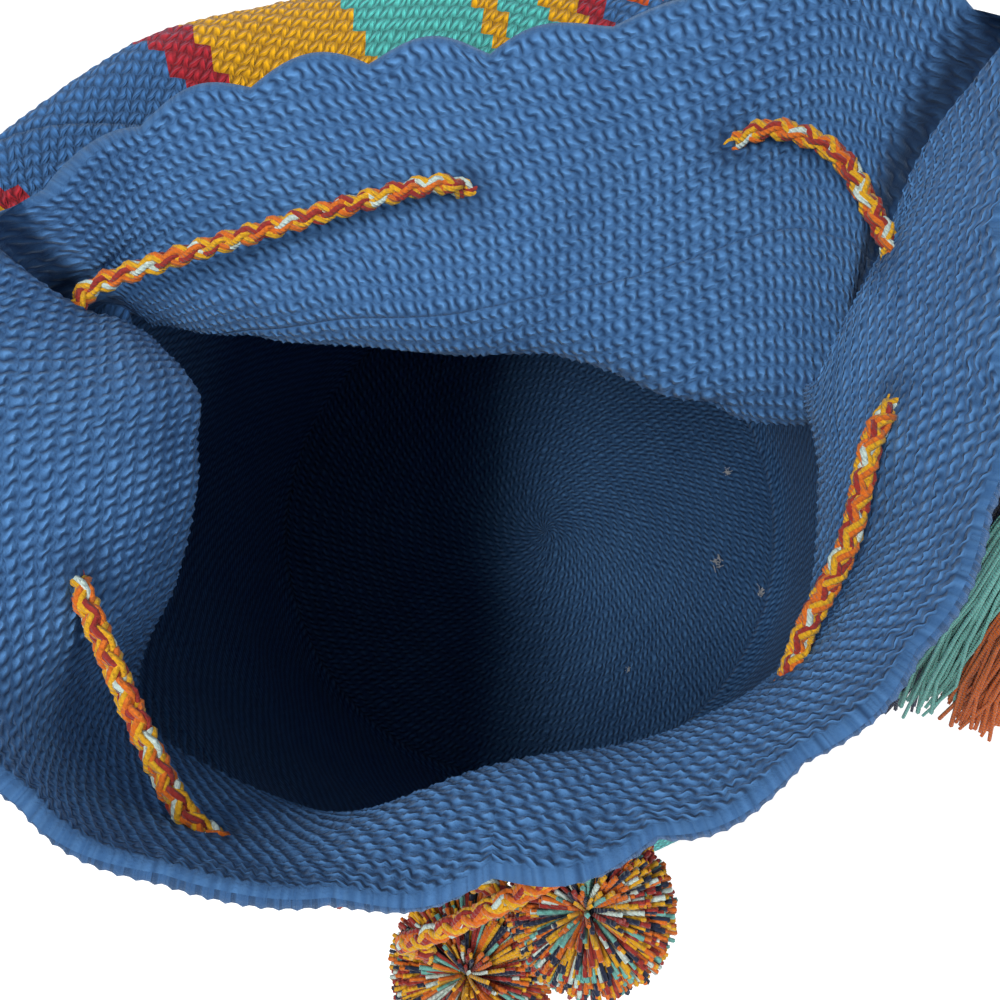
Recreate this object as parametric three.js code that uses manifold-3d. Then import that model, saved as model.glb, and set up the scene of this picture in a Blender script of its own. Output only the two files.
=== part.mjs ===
// Crocheted drawstring shoulder bag, standing on its round base with its mouth open.
// Millimetres, +Z up, front towards -Y. The origin is the middle of the base, on the surface it stands on.
import * as THREE from 'three';
import { mergeVertices } from 'three/addons/utils/BufferGeometryUtils.js';
import Module from 'manifold-3d';

const wasm = await Module();
wasm.setup();

// ---- Driving dimensions -------------------------------------------------------------------
const FABRIC = 4; // thickness of the crocheted wall
const STATIONS = 16; // places round the bag where its rings are given, starting at the front
const COLUMNS = 48; // facets round the bag
const BASE_RADIUS = 102; // edge of the flat of the base
const CORD_DIAMETER = 4.8;
const STRAP_WIDTH = 64;
const STRAP_THICKNESS = 4;
const GAP = 0.4; // clearance between touching pieces
const EYELET_LENGTH = 19; // slots left between stitches, along the round
const EYELET_HEIGHT = 8.6;
const EYELET_STATIONS = [1.55, 3.25, 4.15, 6.6, 8.15, 11.1, 12.9, 14.8];
const POMPOM_RADIUS = { left: 20, right: 18 };
const TASSEL_CORD_DIAMETER = 4;

const BLUE = 0x35608f;
const TURQUOISE = 0x6fc2b4;
const OCHRE = 0xc8841c;
const BURNT_ORANGE = 0xc4581c;
const NAVY = 0x25324d;
const BRAID_ORANGE = 0xe0872a;

// ---- The bag's rings, from the base up ------------------------------------------------------
// Each ring is a closed curve through 16 stations. The lower ones are round and lean a little to
// the back left, where the soft body has slumped; the mouth is as it falls open round its cord.
const turn = (station) => (station / STATIONS) * 2 * Math.PI;
const towards = (station, degrees) => Math.cos(turn(station) - THREE.MathUtils.degToRad(degrees));

function roundRing(radiusAt, heightAt) {
  return Array.from({ length: STATIONS }, (_, k) => {
    const radius = radiusAt(k);
    return new THREE.Vector3(radius * Math.sin(turn(k)), -radius * Math.cos(turn(k)), heightAt(k));
  });
}

const points = (list) => list.map((p) => new THREE.Vector3(...p));

const sole = roundRing((k) => 94 + 7 * towards(k, 270), () => FABRIC / 2);
const edge = roundRing((k) => 110 + 9 * towards(k, 270), () => 3.5);
const foot = roundRing((k) => 118 + 7 * towards(k, 270), () => 16);
const belly = roundRing((k) => 123 + 6 * towards(k, 235), () => 75);
const waist = roundRing((k) => 121 + 10 * towards(k, 235), () => 135);

const SHOULDER_RADII = [104, 101, 105, 108, 110, 114, 120, 125, 128, 130, 133, 135, 133, 127, 118, 109];
const SHOULDER_HEIGHTS = [168, 166, 168, 172, 176, 180, 183, 185, 187, 190, 194, 196, 196, 192, 184, 175];
const shoulder = roundRing((k) => SHOULDER_RADII[k], (k) => SHOULDER_HEIGHTS[k]);

const CROWN_RADII = [96, 92, 92, 94, 97, 104, 112, 116, 118, 119, 130, 143, 136, 124, 113, 102];
const CROWN_HEIGHTS = [202, 200, 202, 205, 209, 215, 220, 223, 225, 228, 237, 243, 240, 230, 220, 208];
const crown = roundRing((k) => CROWN_RADII[k], (k) => CROWN_HEIGHTS[k]);

// The neck is the lip where the collar folds inwards over the body.
const neck = points([
  [0, -79, 232], [36, -67, 230], [63, -43, 229], [68, -8, 236],
  [65, 12, 243], [76, 9, 231], [50, 7, 237], [20, 20, 238],
  [-10, 23, 238], [-42, 25, 238], [-72, 30, 238], [-86, 30, 244],
  [-63, 4, 259], [-69, -29, 254], [-84, -58, 244], [-45, -79, 238],
]);

// Just under the lip the fabric turns back out to the crown of the body.
const UNDER_OUT = 3;
const UNDER_DOWN = 13;
const under = neck.map((p) => {
  const out = new THREE.Vector3(p.x, p.y, 0).normalize().multiplyScalar(UNDER_OUT);
  return p.clone().add(out).add(new THREE.Vector3(0, 0, -UNDER_DOWN));
});

// The round of the collar that the drawstring goes through.
const eyelets = points([
  [0, -64, 268], [35, -56, 264], [64, -37, 262], [74, -4, 262],
  [77, 31, 252], [84, 56, 246], [66, 69, 241], [33, 62, 243],
  [-4, 57, 243], [-42, 56, 243], [-78, 48, 244], [-91, 32, 252],
  [-82, 2, 273], [-80, -31, 272], [-78, -63, 276], [-41, -76, 276],
]);

const rim = points([
  [0, -77, 292], [38, -65, 290], [68, -41, 286], [84, -6, 284],
  [89, 32, 279], [94, 69, 270], [72, 97, 260], [35, 89, 254],
  [-4, 84, 252], [-43, 81, 252], [-79, 68, 255], [-98, 39, 271],
  [-100, 4, 287], [-94, -34, 292], [-73, -65, 300], [-37, -77, 299],
]);

const rings = [sole, edge, foot, belly, waist, shoulder, crown, under, neck, eyelets, rim];
const EYELET_RING = rings.indexOf(eyelets);

// ---- The lofted wall ------------------------------------------------------------------------
function spline(a, b, c, d, f) {
  const along = (p, q, r, s) =>
    0.5 * (2 * q + (r - p) * f + (2 * p - 5 * q + 4 * r - s) * f * f + (3 * q - p - 3 * r + s) * f * f * f);
  return new THREE.Vector3(along(a.x, b.x, c.x, d.x), along(a.y, b.y, c.y, d.y), along(a.z, b.z, c.z, d.z));
}

function onRing(ring, station) {
  const whole = Math.floor(station);
  const at = (k) => ring[(((whole + k) % STATIONS) + STATIONS) % STATIONS];
  return spline(at(-1), at(0), at(1), at(2), station - whole);
}

// The middle of the fabric at a station round the bag and a level: 0 is the sole ring, 10 the rim.
function wall(station, level) {
  const last = rings.length - 1;
  const whole = Math.min(Math.floor(level), last - 1);
  const ringAt = (k) => onRing(rings[k], station);
  const lower = ringAt(whole);
  const upper = ringAt(whole + 1);
  const before = whole > 0 ? ringAt(whole - 1) : lower.clone().multiplyScalar(2).sub(upper);
  const after = whole + 2 <= last ? ringAt(whole + 2) : upper.clone().multiplyScalar(2).sub(lower);
  return spline(before, lower, upper, after, level - whole);
}

function outwards(station, level) {
  const step = 0.001;
  const inside = THREE.MathUtils.clamp(level, step, rings.length - 1 - step);
  const round = wall(station + step, inside).sub(wall(station - step, inside));
  const up = wall(station, inside + step).sub(wall(station, inside - step));
  return round.cross(up).normalize();
}

const offWall = (station, level, distance) =>
  wall(station, level).addScaledVector(outwards(station, level), distance);

// ---- Geometry helpers -----------------------------------------------------------------------
function toSolid(geometry) {
  const bare = geometry.clone();
  bare.deleteAttribute('normal');
  bare.deleteAttribute('uv');
  const merged = mergeVertices(bare);
  return new wasm.Manifold(new wasm.Mesh({
    numProp: 3,
    vertProperties: new Float32Array(merged.attributes.position.array),
    triVerts: new Uint32Array(merged.index.array),
  }));
}

function toGeometry(solid) {
  const mesh = solid.getMesh();
  const geometry = new THREE.BufferGeometry();
  geometry.setAttribute('position', new THREE.BufferAttribute(mesh.vertProperties, 3));
  geometry.setIndex(new THREE.BufferAttribute(mesh.triVerts, 1));
  geometry.computeVertexNormals();
  return geometry;
}

const bag = new THREE.Group();

function addPart(name, geometry, color, roughness = 0.9) {
  const mesh = new THREE.Mesh(geometry, new THREE.MeshStandardMaterial({ color, roughness, metalness: 0 }));
  mesh.name = name;
  bag.add(mesh);
  return mesh;
}

function roundSection(diameter, sides) {
  const section = new THREE.Shape();
  for (let side = 0; side < sides; side += 1) {
    const angle = (side / sides) * 2 * Math.PI;
    const x = (diameter / 2) * Math.cos(angle);
    const y = (diameter / 2) * Math.sin(angle);
    if (side === 0) section.moveTo(x, y);
    else section.lineTo(x, y);
  }
  section.closePath();
  return section;
}

function cordAlong(route, diameter, steps, sides) {
  const path = new THREE.CatmullRomCurve3(points(route));
  return new THREE.ExtrudeGeometry(roundSection(diameter, sides), { steps, extrudePath: path });
}

// ---- Bag body: base, wall and collar, crocheted in one piece ----------------------------------
// A closed lathe profile goes out under the base, up the outside, over the rim and down the inside;
// each of its points is then laid on the lofted wall, half a thickness out or in.
const WALL_LEVELS = [0, 0.6, 1, 1.5, 2, 2.5, 3, 3.5, 4, 4.5, 5, 5.4, 5.8, 6.2, 6.6, 7, 7.5, 8, 8.5, 9, 9.5, 10];

function bagBody() {
  const stops = [
    { level: -1, side: 1 },
    ...WALL_LEVELS.map((level) => ({ level, side: 1 })),
    ...[...WALL_LEVELS].reverse().map((level) => ({ level, side: -1 })),
    { level: -1, side: -1 },
  ];
  const profile = stops.map((stop, i) => {
    const onAxis = i === 0 || i === stops.length - 1;
    return new THREE.Vector2(onAxis ? 0 : 1, i);
  });
  const geometry = new THREE.LatheGeometry(profile, COLUMNS);
  const position = geometry.attributes.position;
  const perColumn = stops.length;
  for (let i = 0; i < position.count; i += 1) {
    const station = ((Math.floor(i / perColumn) % COLUMNS) / COLUMNS) * STATIONS;
    const { level, side } = stops[i % perColumn];
    const onBase = level <= 0;
    const centre = new THREE.Vector3(0, 0, (FABRIC / 2) * (1 - side));
    let place = centre;
    if (onBase && level === 0) {
      place = wall(station, 0).setZ(centre.z);
    } else if (!onBase) {
      place = offWall(station, level, (side * FABRIC) / 2);
      place.z = Math.max(place.z, 0);
    }
    position.setXYZ(i, place.x, place.y, place.z);
  }
  return geometry;
}

function eyeletSlot(station) {
  const slot = new THREE.BoxGeometry(EYELET_LENGTH, EYELET_HEIGHT, 4 * FABRIC);
  const centre = wall(station, EYELET_RING);
  const depth = outwards(station, EYELET_RING);
  const along = wall(station + 0.1, EYELET_RING).sub(wall(station - 0.1, EYELET_RING)).normalize();
  const height = depth.clone().cross(along).normalize();
  slot.applyMatrix4(new THREE.Matrix4().makeBasis(along, height, depth).setPosition(centre));
  return slot;
}

let body = toSolid(bagBody());
for (const station of EYELET_STATIONS) body = body.subtract(toSolid(eyeletSlot(station)));
addPart('bag_body', toGeometry(body), BLUE, 0.95);

// ---- Drawstring: one braided cord through the eight eyelets, its ends crossed at the front -----
const DRAWSTRING_ROUTE = [
  [-19.5, -111, 223], [-24, -106.5, 231], [-18, -102, 240], [-8, -96, 247], [5, -88, 253],
  [16, -81, 257.5], [29, -74, 260.5], [40, -65, 262], [47.5, -56, 263], [52.5, -47, 262.5],
  [56, -38, 262.5], [64, -22, 263.5], [69, -3, 263.5], [75, 5, 260], [80.5, 13, 255.5],
  [81.5, 27, 250.5], [78.5, 36, 250.5], [75.5, 44.5, 250.5], [68, 59, 250], [56, 66.5, 247],
  [47, 65.5, 242], [38, 64.5, 237.5], [20, 61, 237], [-1, 58.5, 237.5], [-10, 57, 243],
  [-19, 55.5, 248.5], [-52, 46, 251], [-85.5, 35, 253], [-91.5, 29, 254], [-93.5, 20, 257],
  [-87.5, 5, 266], [-84.5, -19, 269], [-80, -28, 272], [-75, -36, 275], [-58, -67, 277],
  [-49, -75.5, 276.5], [-39, -81.5, 275.5], [-29, -88.5, 260], [-12, -89.5, 244], [-2, -92.5, 238.5],
];
addPart('drawstring', cordAlong(DRAWSTRING_ROUTE, CORD_DIAMETER, 80, 8), BRAID_ORANGE, 0.8);

// ---- Pompoms on the two ends of the drawstring -------------------------------------------------
function pompom(radius, centre) {
  const ball = new THREE.SphereGeometry(radius, 16, 10);
  return ball.translate(...centre);
}

addPart('pompom_left', pompom(POMPOM_RADIUS.left, [-12, -119, 206]), BRAID_ORANGE, 1);
addPart('pompom_right', pompom(POMPOM_RADIUS.right, [16, -96.5, 236]), BRAID_ORANGE, 1);

// ---- Strap: a thick woven band, its ends sewn to the bag under the collar ----------------------
// It rises from each end, folds over and hangs, and stands on its edge round the back of the bag.
// Each stop gives the angle from the front, the radius, the height, the lean of the band's width,
// where 0 is level, 90 is upright and 180 is level again on the other side, and the way it faces.
const STRAP_ROUTE = [
  [112, 119.5, 181, 0, 103], [112, 116.5, 201, 0, 103], [112, 112.5, 218, 0, 103], [112, 113.5, 232, 0, 104],
  [112, 120, 240, 0, 106], [112, 127.5, 234, 0, 108], [112, 130.5, 214, 0, 110], [112, 131, 172, 0, 112],
  [116, 134, 126, 2, 116], [124, 142, 88, 20, 124], [134, 154, 58, 52, 134], [145, 168, 41, 80, 145],
  [158, 181, 34, 90, 158], [172, 189, 33, 90, 172], [186, 190, 33, 90, 186], [199, 184, 34, 90, 199],
  [211, 175, 41, 100, 211], [221, 167, 58, 128, 221], [231, 161, 90, 160, 231], [241, 160, 130, 178, 241],
  [248, 162, 175, 180, 248], [252, 165, 216, 180, 252], [252, 165, 246, 180, 252], [252, 160, 261, 180, 252],
  [252, 153.5, 262, 180, 252], [252, 150.5, 250, 180, 252], [252, 151, 236, 180, 252],
  [252, 147.5, 222, 180, 252], [252, 142, 207, 180, 252], [252, 139.5, 195.5, 180, 252],
];

function strapGeometry() {
  const around = STRAP_ROUTE.map(([degrees]) => THREE.MathUtils.degToRad(degrees));
  const centres = STRAP_ROUTE.map(([, radius, height], i) =>
    new THREE.Vector3(radius * Math.sin(around[i]), -radius * Math.cos(around[i]), height));
  const widths = STRAP_ROUTE.map(([, , , lean, facing]) => {
    const faces = THREE.MathUtils.degToRad(facing);
    const level = new THREE.Vector3(Math.cos(faces), Math.sin(faces), 0);
    const leaning = THREE.MathUtils.degToRad(lean);
    return level.multiplyScalar(Math.cos(leaning)).add(new THREE.Vector3(0, 0, Math.sin(leaning)));
  });
  const path = new THREE.CatmullRomCurve3(centres);
  const widthPath = new THREE.CatmullRomCurve3(widths);
  const segments = 96;
  const band = new THREE.BoxGeometry(1, STRAP_WIDTH, STRAP_THICKNESS, segments, 1, 1);
  const position = band.attributes.position;
  for (let i = 0; i < position.count; i += 1) {
    const along = position.getX(i) + 0.5;
    const tangent = path.getTangent(along);
    const width = widthPath.getPoint(along);
    width.addScaledVector(tangent, -width.dot(tangent)).normalize();
    const thick = tangent.clone().cross(width);
    const place = path.getPoint(along)
      .addScaledVector(width, position.getY(i))
      .addScaledVector(thick, position.getZ(i));
    position.setXYZ(i, place.x, place.y, place.z);
  }
  return band;
}

addPart('strap', strapGeometry(), TURQUOISE, 0.85);

// ---- Tassels at the strap's two ends -----------------------------------------------------------
// Each is a bundle of yarn folded over, with a binding wound round its neck; the four of a side
// hang from one short braided cord. Each has the place of the top of its head and of its tip.
const NECK_AT = 15; // distance of the binding from the top of the head
const BINDING_HEIGHT = 5;
const BINDING_RADIUS = 5.6;

const TASSELS = [
  ['tassel_right_turquoise', TURQUOISE, [119, -4, 226], [111.5, -59, 150]],
  ['tassel_right_navy', NAVY, [119, 6, 218.5], [109.5, -61, 124]],
  ['tassel_right_orange', BURNT_ORANGE, [131.5, -5, 226], [124.5, -65, 155]],
  ['tassel_right_ochre', OCHRE, [131.5, 5, 218.5], [127.5, -43, 146]],
  ['tassel_left_navy', NAVY, [-135, -44, 208], [-122.7, -65.3, 128]],
  ['tassel_left_turquoise', TURQUOISE, [-142.3, -32.8, 214], [-132.5, -48.2, 134]],
  ['tassel_left_orange', BURNT_ORANGE, [-147.6, -20.7, 219], [-139.9, -29.7, 140]],
  ['tassel_left_ochre', OCHRE, [-150.8, -7.9, 224], [-143.6, -10, 146]],
];

// A lathe shape about its own axis, moved so that the axis runs from the head to the tip.
function alongTassel(profile, head, tip) {
  const geometry = new THREE.LatheGeometry(profile.map(([r, h]) => new THREE.Vector2(r, h)), 12);
  const direction = tip.clone().sub(head).normalize();
  const rotation = new THREE.Quaternion().setFromUnitVectors(new THREE.Vector3(0, 1, 0), direction);
  return geometry.applyQuaternion(rotation).translate(head.x, head.y, head.z);
}

for (const [name, color, headPlace, tipPlace] of TASSELS) {
  const head = new THREE.Vector3(...headPlace);
  const tip = new THREE.Vector3(...tipPlace);
  const length = tip.distanceTo(head);
  const inner = BINDING_RADIUS - 1.4;
  const yarn = [
    [0, 0], [3.6, 1], [5.4, 5], [5.2, 9], [inner, NECK_AT - BINDING_HEIGHT / 2 - GAP],
    [inner, NECK_AT + BINDING_HEIGHT / 2 + GAP], [5.8, NECK_AT + 12], [6.6, length * 0.7], [7, length], [0, length],
  ];
  addPart(name, alongTassel(yarn, head, tip), color, 0.9);
  const low = NECK_AT - BINDING_HEIGHT / 2;
  const high = NECK_AT + BINDING_HEIGHT / 2;
  const wrap = [
    [inner + GAP, low], [BINDING_RADIUS, low], [BINDING_RADIUS, high], [inner + GAP, high], [inner + GAP, low],
  ];
  addPart(`${name.replace('tassel', 'binding')}`, alongTassel(wrap, head, tip), color, 0.9);
}

const TASSEL_CORDS = {
  tassel_cord_right: [[125.5, 13, 233], [125.5, 8, 236], [125.3, 3, 235.5], [125.2, 0, 231.5], [125.1, -0.5, 228]],
  tassel_cord_left: [
    [-131, -50, 209], [-137, -44.5, 212], [-144, -33, 218], [-149.5, -20.5, 223], [-153, -8, 228], [-153, 1, 234],
  ],
};
for (const [name, route] of Object.entries(TASSEL_CORDS)) {
  addPart(name, cordAlong(route, TASSEL_CORD_DIAMETER, 10, 8), BRAID_ORANGE, 0.8);
}

export default bag;
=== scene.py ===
import math
import random

import bmesh
import bpy
import numpy as np
from mathutils import Matrix, Vector


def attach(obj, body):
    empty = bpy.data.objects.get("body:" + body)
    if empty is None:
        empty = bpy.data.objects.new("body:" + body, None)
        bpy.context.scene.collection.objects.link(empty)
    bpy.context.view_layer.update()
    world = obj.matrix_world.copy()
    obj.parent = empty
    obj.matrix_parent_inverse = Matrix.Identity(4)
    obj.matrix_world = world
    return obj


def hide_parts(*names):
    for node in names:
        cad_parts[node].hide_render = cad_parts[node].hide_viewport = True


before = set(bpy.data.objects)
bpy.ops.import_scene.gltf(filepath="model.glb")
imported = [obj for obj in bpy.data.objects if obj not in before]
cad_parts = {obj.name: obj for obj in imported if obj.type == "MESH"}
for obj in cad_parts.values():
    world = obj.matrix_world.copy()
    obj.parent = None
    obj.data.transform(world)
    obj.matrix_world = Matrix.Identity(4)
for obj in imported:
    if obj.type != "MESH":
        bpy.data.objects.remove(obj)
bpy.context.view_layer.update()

MM = 0.001


# ---- Studio ------------------------------------------------------------------------------------
# A pale floor with a little glow of its own, one long soft lamp overhead to the left, and two wide
# ones at the sides. The camera looks down into the bag's mouth from just in front of it.
camera_data = bpy.data.cameras.new("camera")
camera_data.sensor_width = 36
camera_data.lens = 36
camera_data.clip_start = 0.01
camera = bpy.data.objects.new("camera", camera_data)
bpy.context.collection.objects.link(camera)
camera_right = Vector((0.99715, 0.0, -0.07545)).normalized()
camera_back = Vector((0.07504, -0.10450, 0.99169)).normalized()
camera_up = camera_back.cross(camera_right).normalized()
camera.matrix_world = Matrix((
    (camera_right.x, camera_up.x, camera_back.x, 0.0134),
    (camera_right.y, camera_up.y, camera_back.y, -0.0339),
    (camera_right.z, camera_up.z, camera_back.z, 0.4532),
    (0, 0, 0, 1),
))
bpy.context.scene.camera = camera

floor_mesh = bpy.data.meshes.new("studio_floor")
floor_bm = bmesh.new()
bmesh.ops.create_circle(floor_bm, cap_ends=True, radius=4.0, segments=64)
floor_bm.to_mesh(floor_mesh)
floor_bm.free()
floor = bpy.data.objects.new("studio_floor", floor_mesh)
bpy.context.collection.objects.link(floor)
floor_material = bpy.data.materials.new("studio_paper")
floor_material.use_nodes = True
floor_shader = floor_material.node_tree.nodes["Principled BSDF"]
floor_shader.inputs["Base Color"].default_value = (0.92, 0.92, 0.92, 1)
floor_shader.inputs["Roughness"].default_value = 0.8
floor_shader.inputs["Emission Color"].default_value = (1, 1, 1, 1)
floor_shader.inputs["Emission Strength"].default_value = 0.32
floor_mesh.materials.append(floor_material)


def lamp(name, place, target, width, length, watts, colour):
    """An area lamp that faces its target, with its length as nearly along Y as that allows."""
    data = bpy.data.lights.new(name, "AREA")
    data.shape = "RECTANGLE"
    data.size = width
    data.size_y = length
    data.energy = watts
    data.color = colour
    holder = bpy.data.objects.new(name, data)
    bpy.context.collection.objects.link(holder)
    back = (Vector(place) - Vector(target)).normalized()
    across = Vector((0, 1, 0)).cross(back).normalized()
    facing = Matrix((across, back.cross(across), back)).transposed()
    holder.matrix_world = Matrix.Translation(place) @ facing.to_4x4()


lamp("overhead_strip", (-0.385, -0.09, 1.5), (-0.02, -0.02, 0.0), 0.2, 0.8, 14, (1.0, 0.985, 0.96))
lamp("right_fill", (1.5, -0.65, 0.95), (0, 0, 0.25), 1.2, 1.0, 15, (0.93, 0.96, 1.0))
lamp("left_fill", (-1.5, -0.6, 0.8), (0, 0, 0.15), 1.4, 1.0, 2, (1.0, 0.97, 0.94))

world = bpy.data.worlds.new("studio")
bpy.context.scene.world = world
world.use_nodes = True
world.node_tree.nodes["Background"].inputs["Color"].default_value = (0.9, 0.95, 1.0, 1)
world.node_tree.nodes["Background"].inputs["Strength"].default_value = 0.34
bpy.context.scene.view_settings.view_transform = "Standard"


# ---- Bag body: its shape -------------------------------------------------------------------------
# The bag is crocheted in one piece, in rounds, from the middle of its base to its rim. Its soft
# wall has slumped, and its mouth has folded down over the back. Rings of 16 stations give its shape.
STATIONS = 16
FABRIC = 4 * MM
turns = np.arange(STATIONS) * 2 * np.pi / STATIONS


def round_ring(radii, heights):
    radii = np.broadcast_to(np.asarray(radii, float), STATIONS)
    heights = np.broadcast_to(np.asarray(heights, float), STATIONS)
    return np.stack([radii * np.sin(turns), -radii * np.cos(turns), heights], axis=1) * MM


to_left = np.cos(turns - math.radians(270))
to_back_left = np.cos(turns - math.radians(235))
sole = round_ring(94 + 7 * to_left, 2)
edge = round_ring(110 + 9 * to_left, 3.5)
foot = round_ring(118 + 7 * to_left, 16)
belly = round_ring(123 + 6 * to_back_left, 75)
waist = round_ring(121 + 10 * to_back_left, 135)
shoulder = round_ring(
    [104, 101, 105, 108, 110, 114, 120, 125, 128, 130, 133, 135, 133, 127, 118, 109],
    [168, 166, 168, 172, 176, 180, 183, 185, 187, 190, 194, 196, 196, 192, 184, 175],
)
crown = round_ring(
    [96, 92, 92, 94, 97, 104, 112, 116, 118, 119, 130, 143, 136, 124, 113, 102],
    [202, 200, 202, 205, 209, 215, 220, 223, 225, 228, 237, 243, 240, 230, 220, 208],
)
neck = MM * np.array([
    (0, -79, 232), (36, -67, 230), (63, -43, 229), (68, -8, 236),
    (65, 12, 243), (76, 14, 231), (52, 14, 237), (21, 27, 238),
    (-10, 31, 238), (-42, 33, 238), (-73, 35, 238), (-88, 31, 244),
    (-69, 4, 259), (-74, -29, 254), (-84, -58, 244), (-45, -79, 238),
])
neck_out = neck * (1, 1, 0)
neck_out /= np.linalg.norm(neck_out, axis=1, keepdims=True)
under = neck + 3 * MM * neck_out - np.array((0, 0, 13 * MM))
eyelets = MM * np.array([
    (0, -64, 268), (35, -56, 264), (64, -37, 262), (74, -4, 262),
    (77, 31, 252), (84, 56, 246), (66, 69, 241), (33, 62, 243),
    (-4, 57, 243), (-42, 56, 243), (-78, 48, 244), (-91, 32, 252),
    (-82, 2, 273), (-80, -31, 272), (-78, -63, 276), (-41, -76, 276),
])
rim = MM * np.array([
    (0, -77, 292), (38, -65, 290), (68, -41, 286), (84, -6, 284),
    (89, 32, 279), (94, 69, 270), (72, 97, 260), (35, 89, 254),
    (-4, 84, 252), (-43, 81, 252), (-79, 68, 255), (-98, 39, 271),
    (-100, 4, 287), (-94, -34, 292), (-73, -65, 300), (-37, -77, 299),
])
rings = [sole, edge, foot, belly, waist, shoulder, crown, under, neck, eyelets, rim]
EYELET_LEVEL = 9
RIM_LEVEL = len(rings) - 1
EYELET_STATIONS = (1.55, 3.25, 4.15, 6.6, 8.15, 11.1, 12.9, 14.8)


def catmull_rom(a, b, c, d, f):
    f = f[..., None]
    bend = (2 * a - 5 * b + 4 * c - d) * f**2 + (3 * b - a - 3 * c + d) * f**3
    return 0.5 * (2 * b + (c - a) * f + bend)


def on_ring(ring, station):
    whole = np.floor(station).astype(int)
    a, b, c, d = (ring[(whole + k) % STATIONS] for k in (-1, 0, 1, 2))
    return catmull_rom(a, b, c, d, station - whole)


def wall(station, level):
    """The middle of the fabric: level 0 is the sole ring and level 10 the rim."""
    station, level = np.broadcast_arrays(np.asarray(station, float), np.asarray(level, float))
    stack = [on_ring(ring, station) for ring in rings]
    stack = np.array([2 * stack[0] - stack[1], *stack, 2 * stack[-1] - stack[-2]])
    whole = np.clip(np.floor(level).astype(int), 0, RIM_LEVEL - 1)
    a, b, c, d = (np.take_along_axis(stack, (whole + k)[None, ..., None], axis=0)[0] for k in range(4))
    return catmull_rom(a, b, c, d, level - whole)


def wall_normal(station, level):
    level = np.clip(level, 0.002, RIM_LEVEL - 0.002)
    around = wall(station + 0.002, level) - wall(station - 0.002, level)
    upwards = wall(station, level + 0.002) - wall(station, level - 0.002)
    out = np.cross(around, upwards)
    return out / np.linalg.norm(out, axis=-1, keepdims=True)


# ---- Bag body: its stitches ------------------------------------------------------------------------
# Each round is a row of single crochet. Inside, a stitch shows as a bead between two bars, and
# outside as a small upright V. The last rounds are a border of low shells, 24 round the rim.
STITCHES = 224
ROWS = 120
SHELLS = 24
SHELL = STITCHES / SHELLS
SHELL_ROWS = 3.4
SHELL_HEIGHT = 3.4 * MM
STITCH_LEAN = 0.42
STITCH_SLANT = 0.5

# Folds pressed into the soft collar: station, row, half-widths in stations and rows, and depth.
FOLDS = [
    (5.2, 8, 0.12, 19, 12.0), (10.95, 9, 0.13, 15, 12.0), (12.1, 16, 0.22, 8, 2.2),
    (2.6, 12, 0.3, 9, 2.0), (13.6, 11, 0.3, 9, 2.0), (0.6, 11, 0.35, 8, 1.6),
    (8.3, 33, 1.3, 1.3, 3.2), (6.6, 29, 0.8, 1.5, 3.2), (9.6, 22, 0.24, 14, 1.5), (7.4, 13, 0.2, 9, 1.5),
]


def fold_depth(station, row):
    depth = np.zeros(np.broadcast(station, row).shape)
    for at, middle, half_width, half_height, deep in FOLDS:
        away = (station - at + STATIONS / 2) % STATIONS - STATIONS / 2
        depth += deep * MM * np.exp(-((away / half_width) ** 2) - ((row - middle) / half_height) ** 2)
    return depth


def slow_waves(station, row):
    """Soft lumps of a handled cotton fabric, a few centimetres across."""
    a = 2 * np.pi * station / STATIONS
    lumps = np.sin(5 * a + 0.21 * row) + 0.8 * np.sin(9 * a - 0.17 * row + 1.7)
    lumps += 0.6 * np.sin(14 * a + 0.31 * row + 0.4) + 0.5 * np.sin(3 * a - 0.38 * row + 2.9)
    return 0.45 * MM * lumps


def stitch_relief(stitch, row, side):
    across = row % 1
    between = 0.5 - 0.5 * np.cos(2 * np.pi * across)
    lean = stitch + STITCH_LEAN * np.floor(row) + STITCH_SLANT * across
    bead = (0.5 - 0.5 * np.cos(2 * np.pi * lean)) * between
    inside = 1.1 * bead - 0.35
    outside = 0.75 * np.abs(np.sin(np.pi * lean)) ** 0.7 - 0.45 * (1 - between)
    post = 0.5 + 0.5 * np.cos(2 * np.pi * fanned(stitch, row))
    shells = 0.7 * np.clip((SHELL_ROWS - row) / 0.8, 0, 1)
    uneven = 1 + 0.3 * np.sin(1.7 * stitch + 2.3 * np.floor(row)) * np.sin(0.9 * stitch - 1.1 * np.floor(row))
    relief = np.where(side > 0, outside, inside) * uneven
    return 0.62 * MM * (relief * (1 - shells) + shells * (1.5 * post - 0.6))


def fanned(stitch, row):
    """The posts of a shell spread from its foot to its edge."""
    in_shell = (stitch % SHELL) / SHELL - 0.5
    spread = np.clip(1 - row / SHELL_ROWS, 0, 1)
    return stitch + SHELL * 0.35 * (1 - spread) * np.sin(2 * np.pi * in_shell) / np.pi


def shell_edge(stitch):
    hump = np.abs(np.sin(np.pi * stitch / SHELL)) - 0.5
    uneven = 1 + 0.35 * np.sin(0.11 * stitch + 1) + 0.2 * np.sin(0.29 * stitch)
    return SHELL_HEIGHT * hump * uneven


def eyelet_nearness(places):
    nearness = np.zeros(len(places))
    for station in EYELET_STATIONS:
        centre = wall(np.array([station]), np.array([float(EYELET_LEVEL)]))[0]
        distance = np.linalg.norm(places - centre, axis=1)
        nearness = np.maximum(nearness, np.exp(-((distance / (5.5 * MM)) ** 2)))
    return nearness


def levels_down(stations):
    """For each station, the fabric's levels at even distances from the rim, and the distances."""
    levels = np.linspace(RIM_LEVEL, 1, 361)
    places = wall(stations[:, None], levels[None, :])
    steps = np.linalg.norm(np.diff(places, axis=1), axis=2)
    lengths = np.concatenate([np.zeros((len(stations), 1)), np.cumsum(steps, axis=1)], axis=1)
    return levels, lengths


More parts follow.
